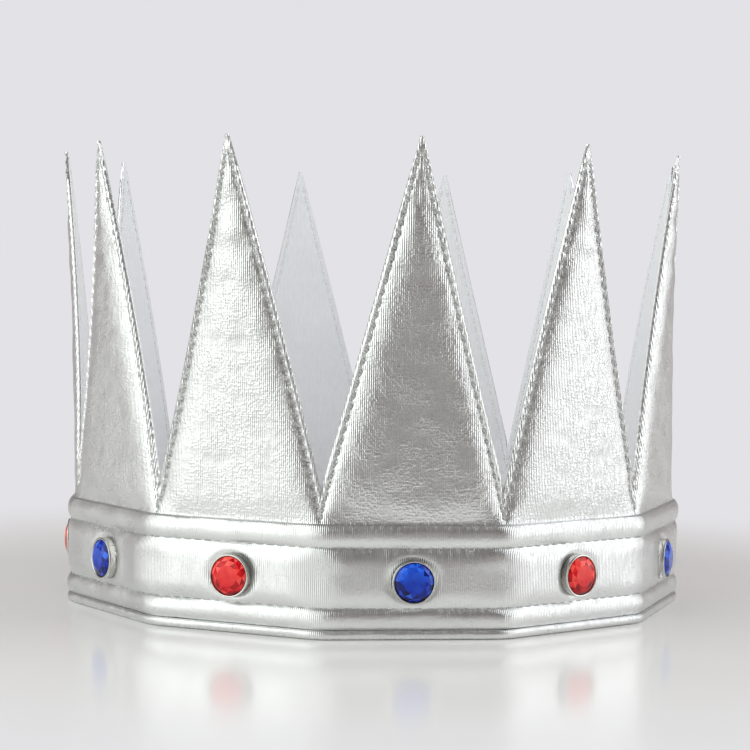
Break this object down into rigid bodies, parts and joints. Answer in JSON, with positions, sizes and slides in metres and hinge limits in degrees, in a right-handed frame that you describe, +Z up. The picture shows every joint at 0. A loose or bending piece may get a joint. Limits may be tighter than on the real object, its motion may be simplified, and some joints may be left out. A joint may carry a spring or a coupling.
{
  "type": "dress-up crown",
  "caption": "Soft sewn dress-up crown of silver foil cloth with tall pointed panels, round coloured gems in metal cups and a hook-and-loop closure.",
  "frame": {"origin": "middle of the crown's box, on the surface it stands on", "axes": "+Z up through the points; -Y to the front crease, +Y to the lapped closure; +X to the right of someone facing the front"},
  "size_m": [0.183, 0.181, 0.128],
  "materials": {
    "points_cloth": "silver foil faux leather, satin metallic",
    "headband_cloth": "silver foil faux leather, satin metallic",
    "binding_cloth": "silver foil faux leather, rolled",
    "lining": "white brushed knit lining",
    "foam": "closed-cell foam sheet",
    "blue_gem": "faceted clear blue acrylic, foiled back",
    "red_gem": "faceted clear red acrylic, foiled back",
    "cup_metal": "bright nickel plate",
    "rivet_metal": "nickel plate",
    "hook_tape": "woven nylon hook tape",
    "loop_tape": "brushed nylon loop tape"
  },
  "bodies": {
    "crown": {"points_cloth": "points_cloth", "lining": "lining", "headband": "headband_cloth", "bottom_binding": "binding_cloth", "foam_insert_02": "foam", "blue_gem_02": "blue_gem", "gem_cup_02": "cup_metal", "gem_rivet_02": "rivet_metal", "foam_insert_03": "foam", "red_gem_03": "red_gem", "gem_cup_03": "cup_metal", "gem_rivet_03": "rivet_metal", "foam_insert_04": "foam", "blue_gem_04": "blue_gem", "gem_cup_04": "cup_metal", "gem_rivet_04": "rivet_metal", "foam_insert_05": "foam", "red_gem_05": "red_gem", "gem_cup_05": "cup_metal", "gem_rivet_05": "rivet_metal", "foam_insert_06": "foam", "blue_gem_06": "blue_gem", "gem_cup_06": "cup_metal", "gem_rivet_06": "rivet_metal", "foam_insert_07": "foam", "red_gem_07": "red_gem", "gem_cup_07": "cup_metal", "gem_rivet_07": "rivet_metal", "foam_insert_08": "foam", "blue_gem_08": "blue_gem", "gem_cup_08": "cup_metal", "gem_rivet_08": "rivet_metal", "foam_insert_09": "foam", "red_gem_09": "red_gem", "gem_cup_09": "cup_metal", "gem_rivet_09": "rivet_metal", "foam_insert_10": "foam", "blue_gem_10": "blue_gem", "gem_cup_10": "cup_metal", "gem_rivet_10": "rivet_metal", "foam_insert_11": "foam", "red_gem_11": "red_gem", "gem_cup_11": "cup_metal", "gem_rivet_11": "rivet_metal"},
    "outer_end": {"outer_end_points_cloth": "points_cloth", "outer_end_lining": "lining", "outer_end_headband": "headband_cloth", "outer_end_bottom_binding": "binding_cloth", "foam_insert_01": "foam", "red_gem_01": "red_gem", "gem_cup_01": "cup_metal", "gem_rivet_01": "rivet_metal", "hook_tape": "hook_tape"},
    "inner_end": {"inner_end_points_cloth": "points_cloth", "inner_end_lining": "lining", "inner_end_headband": "headband_cloth", "inner_end_bottom_binding": "binding_cloth", "foam_insert_12": "foam", "loop_tape": "loop_tape"}
  },
  "joints": [
    {"name": "outer_end_peel", "type": "hinge", "parent": "crown", "child": "outer_end", "pos_m": [-0.03761, 0.0867, 0.015], "axis": [0, 0, 1], "range_deg": [0, 75], "stiffness_Nm_per_rad": 0.004},
    {"name": "inner_end_fold", "type": "hinge", "parent": "crown", "child": "inner_end", "pos_m": [0.03064, 0.07579, 0.015], "axis": [0, 0, 1], "range_deg": [0, 35], "stiffness_Nm_per_rad": 0.004}
  ]
}
